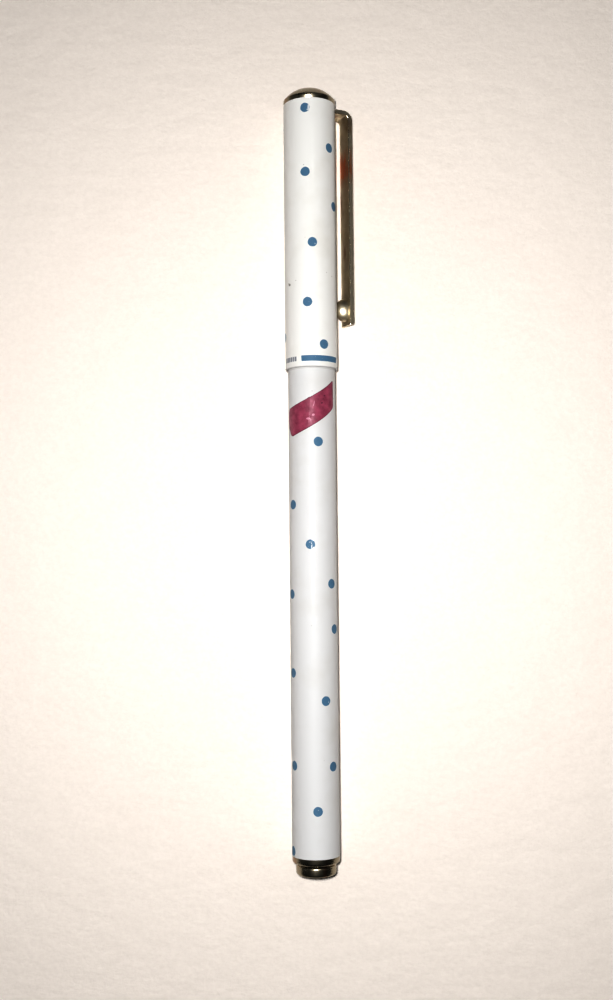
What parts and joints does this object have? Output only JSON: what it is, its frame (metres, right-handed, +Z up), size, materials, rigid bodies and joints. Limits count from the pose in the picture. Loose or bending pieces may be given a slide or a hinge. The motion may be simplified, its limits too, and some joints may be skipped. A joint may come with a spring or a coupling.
{
  "type": "rollerball pen",
  "caption": "Slim capped rollerball pen with a pocket clip, white lacquered tubes, gold trim and a screw-in writing section that holds a sprung refill.",
  "frame": {"origin": "centre of the tail plug's flat end face, on the pen's axis", "axes": "+Y along the pen's axis from the tail to the cap's finial, +Z up from the surface the pen lies on, +X towards the side where the pocket clip rests"},
  "size_m": [0.012, 0.1345, 0.009],
  "materials": {
    "white_lacquer": "gloss",
    "gold_plate": "polished",
    "raw_brass": "turned",
    "liner_plastic": "moulded",
    "seal_rubber": "matt",
    "spring_steel": "drawn wire",
    "crimson_film": "gloss film",
    "black_plastic": "polished moulding",
    "refill_plastic": "satin",
    "refill_cap_plastic": "moulded",
    "ink_fibre": "fibrous",
    "nickel_silver": "turned",
    "carbide": "ground"
  },
  "bodies": {
    "barrel": {"barrel_tube": "white_lacquer", "thread_insert": "raw_brass", "tail_bush": "raw_brass", "tail_plug": "gold_plate", "refill_spring": "spring_steel", "label_tape": "crimson_film"},
    "ring": {"trim_ring": "gold_plate"},
    "section": {"grip_section": "black_plastic", "nose_cone": "gold_plate"},
    "clutch": {"snap_ring": "spring_steel"},
    "cap": {"cap_tube": "white_lacquer", "cap_finial": "gold_plate", "clip_ring": "gold_plate", "cap_bush": "raw_brass", "inner_cap": "liner_plastic", "tip_seal": "seal_rubber"},
    "clip": {"pocket_clip": "gold_plate"},
    "refill": {"refill_tube": "refill_plastic", "refill_plug": "refill_cap_plastic", "ink_reservoir": "ink_fibre", "feed_body": "black_plastic", "ink_wick": "ink_fibre", "writing_tip": "nickel_silver"},
    "ball": {"writing_ball": "carbide"}
  },
  "joints": [
    {"name": "thread_travel", "type": "slide", "parent": "barrel", "child": "ring", "axis": [0, 1, 0], "range_m": [0, 0.00375]},
    {"name": "section_screw", "type": "hinge", "parent": "ring", "child": "section", "pos_m": [0, 0.0903, 0], "axis": [0, 1, 0], "range_deg": [0, 1800]},
    {"name": "cap_turn", "type": "hinge", "parent": "section", "child": "clutch", "pos_m": [0, 0.093, 0], "axis": [0, 1, 0], "continuous": true},
    {"name": "cap_pull", "type": "slide", "parent": "clutch", "child": "cap", "axis": [0, 1, 0], "range_m": [0, 0.055]},
    {"name": "clip_flex", "type": "hinge", "parent": "cap", "child": "clip", "pos_m": [0.00482, 0.131, -0.00195], "axis": [0.3746, 0, 0.9272], "range_deg": [0, 4], "stiffness_Nm_per_rad": 1.2},
    {"name": "refill_push", "type": "slide", "parent": "section", "child": "refill", "axis": [0, -1, 0], "range_m": [0, 0.0012], "stiffness_N_per_m": 900, "deforming": ["refill_spring"]},
    {"name": "ball_roll", "type": "hinge", "parent": "refill", "child": "ball", "pos_m": [0, 0.1255, 0], "axis": [1, 0, 0], "continuous": true}
  ],
  "couplings": [
    {"joint": "section_screw", "follows": "thread_travel", "rad_per_m": 8377.6}
  ]
}
